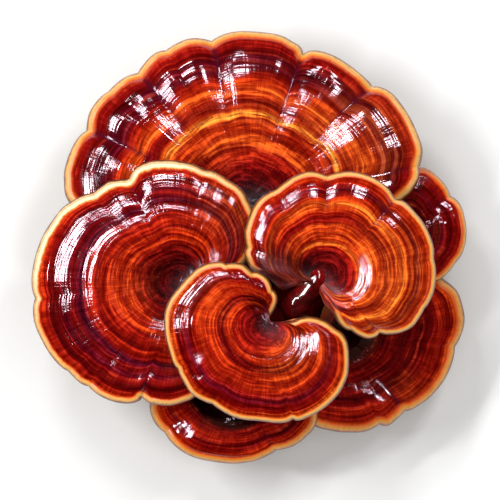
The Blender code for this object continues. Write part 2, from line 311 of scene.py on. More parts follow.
def wovenSkin(tree, cap, skin, growth, rings, lines):
    # The woven look of rings and growth lines; near the lip the rings fade and the lines show more
    nearLip = rangeNode(tree, growth, 0.86, 0.96, 0.0, 1.0, True)
    fine = rangeNode(tree, rings["Fine"], 0.15, 0.85, cap["ringDark"], 1.45)
    fine = plus(tree, fine, times(tree, nearLip, opposite(tree, fine), 0.7))
    broad = rangeNode(tree, rings["Broad"], 0.1, 0.9, 0.64, 1.32)
    thread = rangeNode(tree, lines["Lines"], 0.1, 0.7, cap["lineDark"], 1.08)
    thread = mathNode(tree, "POWER", thread, rangeNode(tree, nearLip, 0, 1, 1.0, 2.2))
    patch = rangeNode(tree, lines["Patches"], 0.1, 0.9, 0.80, 1.18)
    thinRing = rangeNode(tree, rings["Thin"], 0, 1, 1.0, 0.55)
    plaidZone = times(tree, rangeNode(tree, growth, 0.28, 0.42, 0.25, 1.0, True),
                      rangeNode(tree, growth, 0.72, 0.85, 1.0, 0.45, True))
    thinLine = opposite(tree, times(tree, lines["Thin"], plaidZone, 0.30))
    weave = times(tree, fine, broad, thread, patch, thinRing, thinLine)
    # Darker threads turn redder and lighter ones more golden
    darker = mathNode(tree, "POWER", mathNode(tree, "MINIMUM", weave, 1.0), 1.9)
    lighter = mathNode(tree, "POWER", mathNode(tree, "MAXIMUM", weave, 1.0), 1.25)
    tone = addNode(tree, "ShaderNodeCombineColor")
    plug(tree, tone.inputs["Red"], weave)
    plug(tree, tone.inputs["Green"], times(tree, darker, lighter))
    plug(tree, tone.inputs["Blue"], mathNode(tree, "POWER", weave, 1.5))
    woven = mixColour(tree, 1.0, skin, tone.outputs[0], "MULTIPLY")
    glow = times(tree, rangeNode(tree, weave, 1.15, 2.0, 0.0, 0.14, True),
                 rangeNode(tree, growth, 0.22, 0.40, 0.0, 1.0))
    return mixColour(tree, glow, woven, colour("orange"))


def capLip(tree, cap, lines):
    # The lip: honey to cream, with an ember line inside it and a brown line at its very edge; the brown edge
    # is partly painted shade and the pale band inside it partly painted highlight of the rounded rim
    acrossLip = mathNode(tree, "DIVIDE", attribute(tree, "rimDistance"), attribute(tree, "lipWidth"))
    frayed = times(tree, rangeNode(tree, acrossLip, 0.5, 1.0, 0.0, 1.0),
                   rangeNode(tree, lines["Lines"], 0, 1, -0.09, 0.09))
    acrossLip = plus(tree, acrossLip, rangeNode(tree, lines["Patches"], 0, 1, -0.07, 0.07), frayed)
    rampPlace = times(tree, acrossLip, 0.5)
    lip = mixColour(tree, attribute(tree, "creamLip"), rampNode(tree, rampPlace, cap["lip"]),
                    rampNode(tree, rampPlace, creamLipStops))
    lip = vectorNode(tree, "SCALE", lip, rangeNode(tree, lines["Lines"], 0.0, 0.6, 0.86, 1.04))
    lipMask = rangeNode(tree, acrossLip, 1.05, cap["lipFade"], 1.0, 0.0, True)
    return lip, times(tree, lipMask, attribute(tree, "paleLip"))


def capPores(tree):
    poreNoise = noiseNode(tree, objectPlace(tree), 1400, 1.0)
    stain = noiseNode(tree, objectPlace(tree), 45, 3.0)
    tone = mixColour(tree, rangeNode(tree, stain, 0.35, 0.7, 0.0, 0.75), colour("pores"), colour("poreShade"))
    tone = mixColour(tree, rangeNode(tree, poreNoise, 0.45, 0.62, 0.0, 0.35), tone, colour("poreShade"))
    return tone, poreNoise


def capMaterial(name, cap):
    # Lacquered rings on top, a pale lip, and matt pores underneath
    material, tree, shader = newMaterial(name)
    growth = attribute(tree, "growth")
    margin = attribute(tree, "marginPlace", "Vector")
    rings = placeGroup(tree, ringGroup, Growth=growth, Margin=margin, Density=cap["ringDensity"],
                       Seed=cap["seed"] * 3.7)
    lines = placeGroup(tree, streakGroup, Growth=growth, Margin=margin, Density=cap["lineDensity"],
                       Seed=cap["seed"] * 5.3)
    skin = ringedSkin(tree, cap, growth, margin, rings)
    skin = wovenSkin(tree, cap, skin, growth, rings, lines)
    # Painted shade in the furrows and on the low side of folds, mixed towards plum
    furrow = rangeNode(tree, attribute(tree, "furrowMark"), 0.1, 1.0, 0.0, 0.78, True)
    skin = mixColour(tree, furrow, skin, colour("plum"))
    # Painted highlight along the fold's edge
    skin = mixColour(tree, times(tree, attribute(tree, "seam"), 0.7), skin, colour("paleGlint"))
    lip, lipMask = capLip(tree, cap, lines)
    skin = mixColour(tree, lipMask, skin, lip)
    pores, poreNoise = capPores(tree)
    under = attribute(tree, "underside")
    plug(tree, shader.inputs["Base Color"], mixColour(tree, under, skin, pores))
    # Gloss: polished on top, duller on the lip and matt on the pores
    topMask = opposite(tree, under)
    gloss = times(tree, topMask, rangeNode(tree, lipMask, 0, 1, 1.0, lacquer["onLip"]),
                  rangeNode(tree, attribute(tree, "paleLip"), 0, 1, lacquer["onDarkLip"], 1.0))
    plug(tree, shader.inputs["Roughness"], rangeNode(tree, gloss, 0, 1, lacquer["matt"], lacquer["polished"]))
    shader.inputs["IOR"].default_value = lacquer["ior"]
    shader.inputs["Specular IOR Level"].default_value = lacquer["level"]
    shader.inputs["Specular Tint"].default_value = lacquer["tint"]
    # Rings and growth lines too fine for the mesh, which break up the shine
    ringRelief = times(tree, rings["Fine"], rangeNode(tree, growth, 0.08, 0.3, 0.2, 1.1))
    lineRelief = times(tree, lines["Lines"], rangeNode(tree, growth, 0.16, 0.45, 0.0, 0.6, True))
    offLip = rangeNode(tree, lipMask, 0, 1, 1.0, 0.3)
    relief = times(tree, plus(tree, ringRelief, lineRelief), offLip, topMask)
    raiseRelief(tree, shader, plus(tree, relief, times(tree, poreNoise, under)), lacquer["reliefDepth"])
    return material


# How every cap is made, and what most caps share
capMaking = {
    "outlineStep": 0.9, "inset": 0.35, "smoothing": 9.0, "topBands": 104, "underBands": 34,
    "fullDomeRadius": 38.0, "ridgePitch": 0.24, "ridgeStart": 0.30,
    "furrowWidth": 6.5, "furrowCore": 2.4, "creaseWidth": 1.5,
    "ringRipple": 0.07, "fineRipple": 0.035, "lineRipple": 0.16, "swell": 0.30, "underSwell": 0.25,
    "lipBead": 0.30, "lipGroove": 0.38, "creamWiden": 0.45,
}
capShared = {"ridge": 0.05, "lineDensity": 6.0, "ringSway": 0.006, "creamSpots": [], "folds": []}


def lobeCurve(points, step):
    # One lobe of the margin, from its first point up to its last, without the last
    before = 3 * points[0] - 3 * points[1] + points[2] if len(points) > 2 else 2 * points[0] - points[1]
    after = 3 * points[-1] - 3 * points[-2] + points[-3] if len(points) > 2 else 2 * points[-1] - points[-2]
    knots = np.vstack([before, points, after])
    t = np.linspace(0, 1, 24, endpoint=False)[:, None]
    dense = []
    for a, b, c, d in zip(knots, knots[1:], knots[2:], knots[3:]):
        dense.append(b + 0.5 * t * (c - a + t * (2 * a - 5 * b + 4 * c - d + t * (3 * (b - c) + d - a))))
    dense = np.vstack([*dense, points[-1:]])
    length = np.concatenate([[0], np.cumsum(np.hypot(*np.diff(dense, axis=0).T))])
    count = max(4, round(length[-1] / step))
    wanted = length[-1] * np.arange(count) / count
    return np.column_stack([np.interp(wanted, length, dense[:, axis]) for axis in (0, 1)])


def capOutline(cap):
    # The margin in millimetres from the growth point, and what the nicks do to each of its points
    centre = np.array(cap["growthPoint"], float)
    lobes = [np.array(points, float) - centre for depth, points in cap["lobes"]]
    depths = [depth for depth, points in cap["lobes"]]
    outline = []
    nickCut = []
    for index, lobe in enumerate(lobes):
        following = (index + 1) % len(lobes)
        samples = lobeCurve(np.vstack([lobe, lobes[following][:1]]), capMaking["outlineStep"])
        outline.append(samples)
        nickCut.append(np.column_stack([
            np.hypot(*(samples - lobe[0]).T), np.full(len(samples), depths[index]),
            np.hypot(*(samples - lobes[following][0]).T), np.full(len(samples), depths[following])]))
    outline = np.vstack(outline)
    reach = np.hypot(*outline.T)
    outline *= (1 - capMaking["inset"] / reach)[:, None]
    return outline, np.vstack(nickCut)


def roundedOutline(outline):
    # The same margin with its nicks smoothed out, for the inner rings
    reachAlong = int(3 * capMaking["smoothing"] / capMaking["outlineStep"])
    offsets = np.arange(-reachAlong, reachAlong + 1)
    weights = np.exp(-(offsets * capMaking["outlineStep"] / capMaking["smoothing"]) ** 2 / 2)
    weights /= weights.sum()
    return sum(weight * np.roll(outline, offset, axis=0) for weight, offset in zip(weights, offsets))


def distanceToMargin(plan, outline):
    # How far each point lies from the nearest stretch of the margin
    ends = np.roll(outline, -1, axis=0)
    along = ends - outline
    lengths = (along ** 2).sum(axis=1)
    nearest = np.empty(len(plan))
    for first in range(0, len(plan), 4000):
        offset = plan[first:first + 4000, None, :] - outline[None]
        share = np.clip((offset * along).sum(axis=2) / lengths, 0, 1)
        gap = offset - share[..., None] * along
        nearest[first:first + 4000] = np.sqrt((gap ** 2).sum(axis=2).min(axis=1))
    return nearest


def foldSides(plan, line):
    # Distance from a line on the plan, left of it positive, and how far along it the nearest spot is
    line = np.array(line, float)
    best = np.full(len(plan), 1e9)
    along = np.zeros(len(plan))
    for index, (a, b) in enumerate(zip(line, line[1:])):
        run = b - a
        share = np.clip(((plan - a) @ run) / (run @ run), 0, 1)
        gap = plan - a - share[:, None] * run
        side = np.sign(run[0] * gap[:, 1] - run[1] * gap[:, 0])
        away = np.hypot(*gap.T)
        closer = away < np.abs(best)
        best = np.where(closer, side * away, best)
        along = np.where(closer, (index + share) / (len(line) - 1), along)
    return best, along


def spotMask(plan, spots):
    # Sum of soft round spots: where, how wide and how strong
    total = np.zeros(len(plan))
    for place, radius, strength in spots:
        away = np.hypot(plan[:, 0] - place[0], plan[:, 1] - place[1])
        total += strength * np.exp(-(away / radius) ** 2)
    return total


def markMesh(mesh, **marks):
    # What a material reads at each vertex, a value or a vector
    for name, values in marks.items():
        isVector = values.ndim == 2
        layer = mesh.attributes.new(name, "FLOAT_VECTOR" if isVector else "FLOAT", "POINT")
        layer.data.foreach_set("vector" if isVector else "value", values.astype(np.float32).ravel())


def finishPiece(name, mesh, place, material, node):
    # The vertices go to their places in millimetres, and the piece stands in for its node
    mesh.vertices.foreach_set("co", (place * mm).ravel())
    mesh.polygons.foreach_set("use_smooth", np.ones(len(mesh.polygons), bool))
    mesh.update()
    mesh.materials.append(material)
    piece = bpy.data.objects.new(name, mesh)
    bpy.context.scene.collection.objects.link(piece)
    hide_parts(node)
    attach(piece, "root")


def rolledSheet(name, columns, bands):
    # A sheet of squares rolled into a ball, closed along its seam and at both poles
    bm = bmesh.new()
    bmesh.ops.create_grid(bm, x_segments=columns, y_segments=bands, size=1.0)
    bm.verts.ensure_lookup_table()
    across = columns + 1
    joins = {}
    for row in range(bands + 1):
        first = bm.verts[row * across]
        joined = range(1, across) if row in (0, bands) else [columns]
        joins.update({bm.verts[row * across + i]: first for i in joined})
    bmesh.ops.weld_verts(bm, targetmap=joins)
    mesh = bpy.data.meshes.new(name)
    bm.to_mesh(mesh)
    bm.free()
    spots = np.empty(len(mesh.vertices) * 3)
    mesh.vertices.foreach_get("co", spots)
    spots = spots.reshape(-1, 3)
    column = np.round((spots[:, 0] + 1) / 2 * columns).astype(int) % columns
    band = np.round((spots[:, 1] + 1) / 2 * bands)
    return mesh, column, band


def leanTurn(cap):
    heading = math.radians(cap["heading"])
    axis = Vector((-math.sin(heading), math.cos(heading), 0))
    return Matrix.Rotation(math.radians(cap["lean"]), 3, axis)


def topHeight(cap, plan, edge, share, reach):
    # The top without its furrows: profile, ridge, ripples and swells
    seed = cap["seed"]
    height = softCurve(share, cap["profile"])
    ridge = -cap["ridge"] * np.cos(2 * np.pi * (share - capMaking["ridgeStart"]) / capMaking["ridgePitch"])
    height += ridge * smoothStep(0.25, 0.34, share) * smoothStep(1.0, 0.9, share)
    around = planNoise(edge, 25, 9, seed)
    outward = share * reach
    height += capMaking["ringRipple"] * valueNoise(outward / 3.4 + around * 0.35, around + 5, seed + 1)
    height += capMaking["fineRipple"] * valueNoise(outward / 1.9 + around * 0.5, around + 5, seed + 2)
    height += capMaking["lineRipple"] * planNoise(edge, 6.5, 0, seed + 3) * smoothStep(0.3, 0.8, share)
    return height + capMaking["swell"] * planNoise(plan, 13, 7, seed + 4)


def furrowMarks(nickCut, share):
    # Furrows run inwards from the nicks: how deep they lie, and the painted shade that darkens them
    furrow = np.zeros(len(share))
    creaseShade = np.zeros(len(share))
    for side in (0, 2):
        distance = nickCut[:, side] * np.maximum(share, 0.02)
        strength = nickCut[:, side + 1]
        start = 0.80 - 0.46 * np.clip(strength, 0, 1)
        wide = 0.75 * np.exp(-(distance / capMaking["furrowWidth"]) ** 2)
        wide *= smoothStep(start, start + 0.38, share)
        core = 0.22 * np.exp(-(distance / capMaking["furrowCore"]) ** 2) * smoothStep(0.55, 0.98, share)
        furrow = np.maximum(furrow, strength * (wide + core))
        line = np.exp(-(distance / capMaking["creaseWidth"]) ** 2) * smoothStep(start, 0.98, share)
        creaseShade = np.maximum(creaseShade, strength * (0.45 * wide + 0.55 * line))
    return furrow, creaseShade


def foldLiftGlintShade(folds, worldPlan):
    # A fold: one side of a line lies lower, with a broken painted highlight along it and painted shade on its
    # low side
    lift, seam, shade = np.zeros((3, len(worldPlan)))
    for fold in folds:
        side, along = foldSides(worldPlan, fold["line"])
        fade = smoothStep(1.0, 0.6, along) * smoothStep(0.0, 0.22, along)
        lower = smoothStep(0, fold["reach"], side * fold["lowerSide"])
        near = np.exp(-(np.minimum(side * fold["lowerSide"], 0) / 1.5) ** 2)
        lift -= fold["drop"] * lower * fade * smoothStep(14, 8, np.abs(side))
        lift += 0.35 * np.exp(-(side / 0.5) ** 2) * fade
        wander = 0.35 * planNoise(worldPlan, 0.9, 0, 8)
        broken = smoothStep(-0.5, 0.4, valueNoise(worldPlan[:, 0] / 1.3 + 5, worldPlan[:, 1] / 1.3, 9))
        seam = np.maximum(seam, np.exp(-((side + wander) / 0.2) ** 2) * smoothStep(1.0, 0.7, along) * broken)
        shade = np.maximum(shade, 1.1 * lower * fade * near * smoothStep(9, 5, np.abs(side)))
    return lift, seam, shade


def slopeLift(slopes, worldPlan):
    # Soft slopes that turn the skin to a lamp: where, how wide, how steep and which way it falls
    lift = np.zeros(len(worldPlan))
    for spot, radius, slope, turned in slopes:
        offset = worldPlan - np.array(spot)
        toward = math.radians(turned)
        ahead = offset @ np.array([math.cos(toward), math.sin(toward)])
        lift -= slope * ahead * np.exp(-(offset ** 2).sum(axis=1) / radius ** 2)
    return lift


def makeCap(name, cap):
    # The ball's meridians become the growth lines and its parallels the growth rings
    outline, nickCut = capOutline(cap)
    bands = capMaking["topBands"] + capMaking["underBands"]
    mesh, column, band = rolledSheet("cap" + name, len(outline), bands)
    upper = band >= capMaking["underBands"]
    away = np.where(upper, (bands - band) / capMaking["topBands"], band / capMaking["underBands"])
    share = 0.35 * away + 0.65 * np.sin(away * np.pi / 2)

    # Place in the plan: the margin's own shape outside, rounder rings inside
    edge = outline[column]
    follow = smoothStep(0.25, 0.85, share)[:, None]
    plan = share[:, None] * (follow * edge + (1 - follow) * roundedOutline(outline)[column])
    worldPlan = plan + np.array(cap["growthPoint"])
    reach = np.hypot(*edge.T)
    rimDistance = (1 - share) * reach
    outer = share > 0.45
    rimDistance[outer] = distanceToMargin(plan[outer], outline[::2])
    reach[share < 1e-6] = capMaking["fullDomeRadius"]
    dome = smoothStep(0, capMaking["fullDomeRadius"], reach)

    # Heights of the top, with a bead and a groove along the lip
    furrow, creaseShade = furrowMarks(nickCut[column], share)
    foldLift, seam, foldShade = foldLiftGlintShade(cap["folds"], worldPlan)
    height = topHeight(cap, plan, edge, share, reach) - cap["furrow"] * furrow
    height = (height + foldLift + slopeLift(cap["slopes"], worldPlan)) * dome
    bead = capMaking["lipBead"] * np.exp(-((rimDistance - 0.55 * cap["lipWidth"]) / 1.1) ** 2)
    bead -= capMaking["lipGroove"] * np.exp(-((rimDistance - 1.25 * cap["lipWidth"]) / 0.9) ** 2)
    height += bead * smoothStep(0.5, 0.8, share) * dome

    # Both faces draw in to the rounded margin
    radius = cap["rim"] / 2
    inward = np.clip(rimDistance / radius, 0, 1)
    drawIn = radius * (1 - np.sqrt(1 - (1 - inward) ** 2))
    thickness = cap["rim"] + (cap["middle"] - cap["rim"]) * (1 - share ** 1.5)
    flat = softCurve(share, cap["profile"]) * dome - cap["furrow"] * furrow * dome * share ** 6
    flat += capMaking["underSwell"] * planNoise(plan, 9, 0, cap["seed"] + 5)
    level = np.where(upper, height - drawIn, flat - thickness + drawIn)
    atEdge = np.abs(band - capMaking["underBands"]) < 0.5
    level[atEdge] = height[atEdge] - radius

    # Into the clump: leaned about the growth point
    place = np.column_stack([plan, level]) @ np.array(leanTurn(cap)).T
    place += np.array([*cap["growthPoint"], cap["height"]])
    cream = np.clip(spotMask(worldPlan, cap["creamSpots"]), 0, 1)
    markMesh(mesh, growth=share, marginPlace=np.column_stack([edge / 10, np.zeros(len(share))]),
             rimDistance=rimDistance, furrowMark=np.where(upper, np.maximum(creaseShade, foldShade) * dome, 0),
             seam=np.where(upper, seam, 0), warmth=np.clip(spotMask(worldPlan, cap["patches"]), -1, 1),
             creamLip=cream, paleLip=1 - np.clip(spotMask(worldPlan, cap["darkLipSpots"]), 0, 1),
             lipWidth=cap["lipWidth"] * (1 + capMaking["creamWiden"] * cream),
             underside=np.where(upper, 0, smoothStep(1.5, 3.0, rimDistance)))
    finishPiece("cap" + name + "Skin", mesh, place, capMaterial("lacquer" + name, cap), cap["node"])
    print("cap", name, len(mesh.vertices), "vertices")


# Patches: warm spots, partly painted highlight, and dark ones, most of them painted shade in folds, notches
# and under other caps
# Lobes: how deep the nick before each one is, and its points, counterclockwise from the stem's notch
backCap = {
    "node": "cap_back", "seed": 11, "growthPoint": (-9, 31.5), "height": 64, "lean": 7, "heading": 88,
    "middle": 10.0, "rim": 5.0, "furrow": 3.0, "lipWidth": 2.9, "lipFade": 1.95,
    "profile": [(0, 0), (0.12, -0.2), (0.30, 1.0), (0.50, 2.8), (0.54, 3.3), (0.72, 4.1), (0.80, 3.7),
                (0.87, 2.6), (0.94, 0.4), (1, -2.6)],
    "ringDensity": 44, "ringSway": 0.008, "ringDark": 0.38, "lineDark": 0.86, "lip": amberLipStops,
    # The near-black middle is partly the cap's own dark centre, partly painted shade from the caps above
    "rings": [(0.0, "blackRed"), (0.05, "maroon"), (0.10, "maroon"), (0.15, "oxblood"), (0.20, "crimson"),
              (0.25, "crimson"), (0.29, "ember"), (0.32, "crimson"), (0.37, "flame"), (0.42, "ember"),
              (0.45, "redOrange"), (0.485, "crimson"), (0.494, "flame"), (0.506, "orange"), (0.518, "gold"),
              (0.532, "orange"), (0.548, "ember"), (0.57, "crimson"), (0.60, "crimson"), (0.63, "ember"),
              (0.66, "flame"), (0.69, "redOrange"), (0.72, "ember"), (0.75, "crimson"), (0.78, "wine"),
              (0.81, "oxblood"), (0.84, "wine"), (0.87, "oxblood"), (0.91, "crimson"), (0.95, "crimson"),
              (0.97, "ember"), (1.0, "flame")],
    "patches": [((48, 62), 16, 0.75), ((28, 72), 12, 0.55), ((55, 45), 12, 0.55), ((-30, 62), 20, 0.30),
                ((0, 75), 16, 0.35), ((-75, 50), 22, -0.25), ((10, 30), 22, -0.35), ((70, 32), 14, -0.7),
                ((-62, 80), 14, -0.3)],
    "slopes": [((34.5, 60.5), 8, 0.06, 118), ((30, 84), 9, 0.07, 118), ((-3, 92), 10, -0.09, 90),
               ((-14, 72), 12, -0.05, 110), ((27, 97), 8, 0.28, 230), ((47, 75), 7, 0.06, 194),
               ((-12, 104), 8, 0.15, 265), ((-62, 83), 7, 0.16, 237), ((-83, 58), 7, 0.22, 267)],
    "darkLipSpots": [((-8, 22), 14, 1.0)],
    "lobes": [
        (0.0, [(-8, 22), (5, 17), (28, 14), (52, 21), (68.5, 34), (73, 39), (75.5, 44)]),
        (0.7, [(75.5, 49.5), (77, 54), (77, 60.5), (72, 73), (65.5, 83), (61, 87.5), (56, 90)]),
        (1.0, [(52.5, 90), (50.5, 93), (42, 100), (34, 105), (27, 107.5), (22, 108)]),
        (1.0, [(18.5, 106.5), (17, 110), (13, 112.5), (7, 115.5), (-2, 117), (-13, 117.5), (-21, 116)]),
        (1.0, [(-27, 113), (-33, 114), (-39, 113.5), (-45, 111)]),
        (0.3, [(-49.5, 108), (-54, 107), (-58, 104), (-61.5, 100)]),
        (1.0, [(-63.5, 97), (-69, 95), (-74, 91.5)]),
        (0.3, [(-78, 87.5), (-82, 84.5), (-86, 79.5), (-88, 75)]),
        (1.0, [(-89, 68), (-94, 63), (-98.5, 53), (-100, 43), (-97, 31.5), (-80, 18), (-50, 12), (-22, 14)]),
    ],
}
leftCap = {
    "node": "cap_left", "seed": 23, "growthPoint": (-42, -7), "height": 79.5, "lean": 6, "heading": 190,
    "middle": 9.5, "rim": 5.0, "furrow": 2.4, "lipWidth": 2.6, "lipFade": 1.5,
    "profile": [(0, 0), (0.12, 0.1), (0.28, 1.6), (0.44, 3.7), (0.54, 4.4), (0.585, 4.25), (0.65, 3.45),
                (0.70, 3.3), (0.745, 3.2), (0.835, 2.1), (0.88, 1.2), (0.95, -0.6), (1, -2.0)],
    "ringDensity": 40, "ringDark": 0.40, "lineDark": 0.74, "lip": honeyLipStops,
    "rings": [(0.0, "oxblood"), (0.06, "maroon"), (0.12, "oxblood"), (0.15, "maroon"), (0.20, "oxblood"),
              (0.23, "oxblood"), (0.26, "crimson"), (0.28, "oxblood"), (0.31, "ember"), (0.33, "crimson"),
              (0.36, "redOrange"), (0.38, "crimson"), (0.41, "ember"), (0.43, "redOrange"), (0.46, "crimson"),
              (0.51, "ember"), (0.56, "crimson"), (0.60, "ember"), (0.64, "crimson"), (0.66, "wine"),
              (0.675, "plum"), (0.69, "wine"), (0.73, "crimson"), (0.78, "wine"), (0.82, "crimson"),
              (0.86, "oxblood"), (0.90, "crimson"), (0.94, "ember"), (0.97, "flame"), (1.0, "orange")],
    "patches": [((-18, 26), 18, 0.35), ((-40, -40), 16, 0.25), ((-70, -10), 16, 0.25),
                ((-98, -30), 20, -0.25), ((-70, -55), 20, -0.2), ((-36, -16), 12, -0.6)],
    "slopes": [((-36, 44), 13, -0.12, 90), ((-62, -55), 5, 0.50, 130)],
    "creamSpots": [((-95, 34), 34, 1.0), ((-112, 8), 26, 0.8), ((-56, 52), 28, 1.0)],
    "darkLipSpots": [((-35, -15), 12, 1.0)],
    "lobes": [
        (0.0, [(-35, -15), (-29, -9.5), (-19, -6), (-10, 2), (-5, 13), (-5, 23), (-8, 31), (-12, 38),
               (-19, 43), (-26, 47)]),
        (0.3, [(-30, 47.5), (-36, 50.5), (-43, 52), (-51, 52.5), (-59, 51.5), (-65, 48.5)]),
        (0.6, [(-68.5, 43), (-73, 43), (-79, 41.5), (-84, 38)]),
        (0.4, [(-86.5, 36), (-90, 35.5), (-96, 32.5), (-103, 27), (-112, 13), (-116.5, -4)]),
        (0.2, [(-115, -16), (-116, -22), (-115, -29), (-112, -36), (-108, -43), (-103, -49)]),
        (0.3, [(-98.5, -52), (-93, -57.5)]),
        (0.3, [(-88.5, -59.5), (-83, -64), (-76, -67), (-69, -68), (-64, -67)]),
        (0.7, [(-62, -65), (-59.5, -67), (-57, -68), (-48, -69), (-40, -67), (-35, -64.5), (-30, -59.5),
               (-26.5, -49.5), (-28, -37), (-32, -24.5)]),
    ],
}
rightCap = {
    "node": "cap_right", "seed": 37, "growthPoint": (27.5, -5), "height": 91, "lean": 5, "heading": 345,
    "middle": 8.5, "rim": 4.5, "furrow": 1.8, "lipWidth": 2.2, "lipFade": 1.5,
    "profile": [(0, 0), (0.16, 0.3), (0.30, 1.6), (0.46, 4.4), (0.56, 5.0), (0.74, 4.6), (0.86, 2.8),
                (0.95, 0.6), (1, -1.2)],
    "ringDensity": 34, "ringDark": 0.34, "lineDark": 0.87, "lip": honeyLipStops,
    "rings": [(0.0, "oxblood"), (0.10, "oxblood"), (0.16, "crimson"), (0.21, "oxblood"), (0.25, "crimson"),
              (0.30, "ember"), (0.335, "orange"), (0.36, "ember"), (0.39, "flame"), (0.41, "ember"),
              (0.44, "flame"), (0.47, "redOrange"), (0.50, "flame"), (0.52, "ember"), (0.555, "crimson"),
              (0.60, "ember"), (0.64, "redOrange"), (0.67, "flame"), (0.70, "orange"), (0.735, "redOrange"),
              (0.77, "ember"), (0.80, "crimson"), (0.83, "wine"), (0.86, "crimson"), (0.90, "ember"),
              (0.94, "redOrange"), (0.97, "flame"), (1.0, "gold")],
    "patches": [((66, 0), 13, 0.9), ((62, -18), 12, 0.9), ((50, -26), 10, 0.7), ((58, 18), 12, 0.5),
                ((0, 4), 12, -0.5), ((28, -4), 9, -0.4), ((7, -6), 13, -1.3),
                ((19, -4), 7, -0.9)],
    "slopes": [((47, 5), 12, 0.10, 110), ((48, -24), 7, 0.12, 150), ((49, -3), 10, 0.19, 140),
               ((44, 7), 7, 0.14, 85), ((1, 29), 7, 0.09, 344), ((33, 39), 6, 0.12, 286)],
    "darkLipSpots": [((8, -11), 14, 1.4), ((0, -6), 7, 0.8), ((26, -12), 9, 1.4), ((31, -19), 5, 1.0)],
    "lobes": [
        (0.0, [(24.5, -11), (27, -15), (28.5, -18.5), (31, -21), (33, -23.5), (35.5, -28), (38.5, -31)]),
        (0.3, [(42, -32), (46, -34.7), (50.5, -36), (54.3, -35.2)]),
        (0.5, [(56.6, -32.8), (59, -34), (65.5, -33.3), (72, -30.5), (76, -25.5)]),
        (0.2, [(78.5, -21), (80.5, -18.5), (83, -13), (84, -7), (84, -1)]),
        (0.2, [(83, 4), (83, 9.5), (81, 15.5), (78, 21.5), (73.5, 27), (68.5, 32)]),
        (0.8, [(64, 33), (63, 35), (59.5, 39.5), (53, 44), (45.5, 46.5), (38.5, 47), (32, 45.5)]),
        (0.8, [(30, 44.5), (27, 46), (22, 47), (15.5, 45.5), (9.5, 42)]),
        (0.3, [(4.5, 38), (1, 36.5), (-3, 34), (-6.5, 29.5), (-9, 24), (-11, 17), (-10.5, 12)]),
        (0.3, [(-10, 9.5), (-11, 6.5), (-9.5, 2), (-7, -2), (2, -7), (7, -11.5), (13, -10.5), (18, -8)]),
    ],
}
frontCap = {
    "node": "cap_front", "seed": 41, "growthPoint": (-0.5, -28.5), "height": 102.6, "lean": 4, "heading": 255,
    "middle": 8.5, "rim": 4.5, "furrow": 1.6, "lipWidth": 2.1, "lipFade": 1.5,
    "profile": [(0, 0), (0.15, 0.2), (0.30, 1.2), (0.42, 2.4), (0.56, 3.2), (0.74, 3.1), (0.86, 1.8),
                (0.95, 0.2), (1, -1.2)],
    "ringDensity": 32, "ringDark": 0.42, "lineDark": 0.76, "lip": honeyLipStops,
    "rings": [(0.0, "oxblood"), (0.08, "oxblood"), (0.14, "crimson"), (0.20, "crimson"), (0.25, "crimson"),
              (0.30, "ember"), (0.33, "crimson"), (0.36, "redOrange"), (0.40, "ember"), (0.43, "oxblood"),
              (0.46, "crimson"), (0.48, "oxblood"), (0.51, "ember"), (0.55, "redOrange"), (0.60, "ember"),
              (0.65, "redOrange"), (0.69, "ember"), (0.74, "crimson"), (0.79, "wine"), (0.83, "crimson"),
              (0.86, "crimson"), (0.89, "ember"), (0.92, "flame"), (1.0, "gold")],
    "patches": [((18, -40), 10, 0.8), ((8, -50), 10, 0.5), ((-30, -14), 14, 0.25), ((3, -28), 5, -0.9),
                ((-1.5, -24.5), 5, -1.1), ((-4.5, -19), 5, -0.9), ((0, -20), 5, -0.6),
                ((-8, -14), 6, -0.4)],
    "slopes": [((23, -38), 11, 0.20, 170), ((-15, -7), 12, -0.09, 120), ((-32, -48), 7, 0.10, 170),
               ((20.5, -37.5), 11, 0.20, 128), ((-34, -45), 6, 0.30, 99), ((-32.5, -54.5), 5, 0.28, 84),
               ((-38, -27), 7, 0.20, 138)],
    "darkLipSpots": [((4, -28.5), 7.5, 1.3)],
    "folds": [{"lowerSide": -1, "reach": 2.6, "drop": 2.4,
               "line": [(5.2, -29.2), (3.4, -28.2), (1.6, -27.3), (-0.8, -25.8), (-2.8, -23.2), (-4.2, -21.2),
                        (-5.6, -19.8)]}],
    "lobes": [
        (0.0, [(4.2, -28.4), (2, -25.5), (3.6, -22), (5.5, -17), (5, -13)]),
        (0.4, [(3, -11), (1, -6), (-3, -3)]),
        (0.3, [(-7, -2.5), (-8, -1.5), (-12, 1.5), (-17, 2)]),
        (0.1, [(-20, 1.5), (-24.5, 2.5), (-33, 0), (-41.5, -8), (-49, -18.5), (-50.5, -31), (-47, -45.5)]),
        (0.4, [(-44, -50.5), (-42, -55.5), (-37, -63), (-30.5, -67)]),
        (0.4, [(-27, -68), (-20.5, -72.5), (-13, -75.5), (-4, -76.5), (7, -77.5)]),
        (0.2, [(13, -75.5), (17, -76), (25.5, -72), (32, -67), (37, -61), (40.5, -52), (40.5, -39.5),
               (38, -33.5), (34, -30.5), (29.5, -27), (23.5, -24.8), (18, -25), (13.2, -27), (9.4, -27),
               (6.8, -27.8)]),
    ],
}
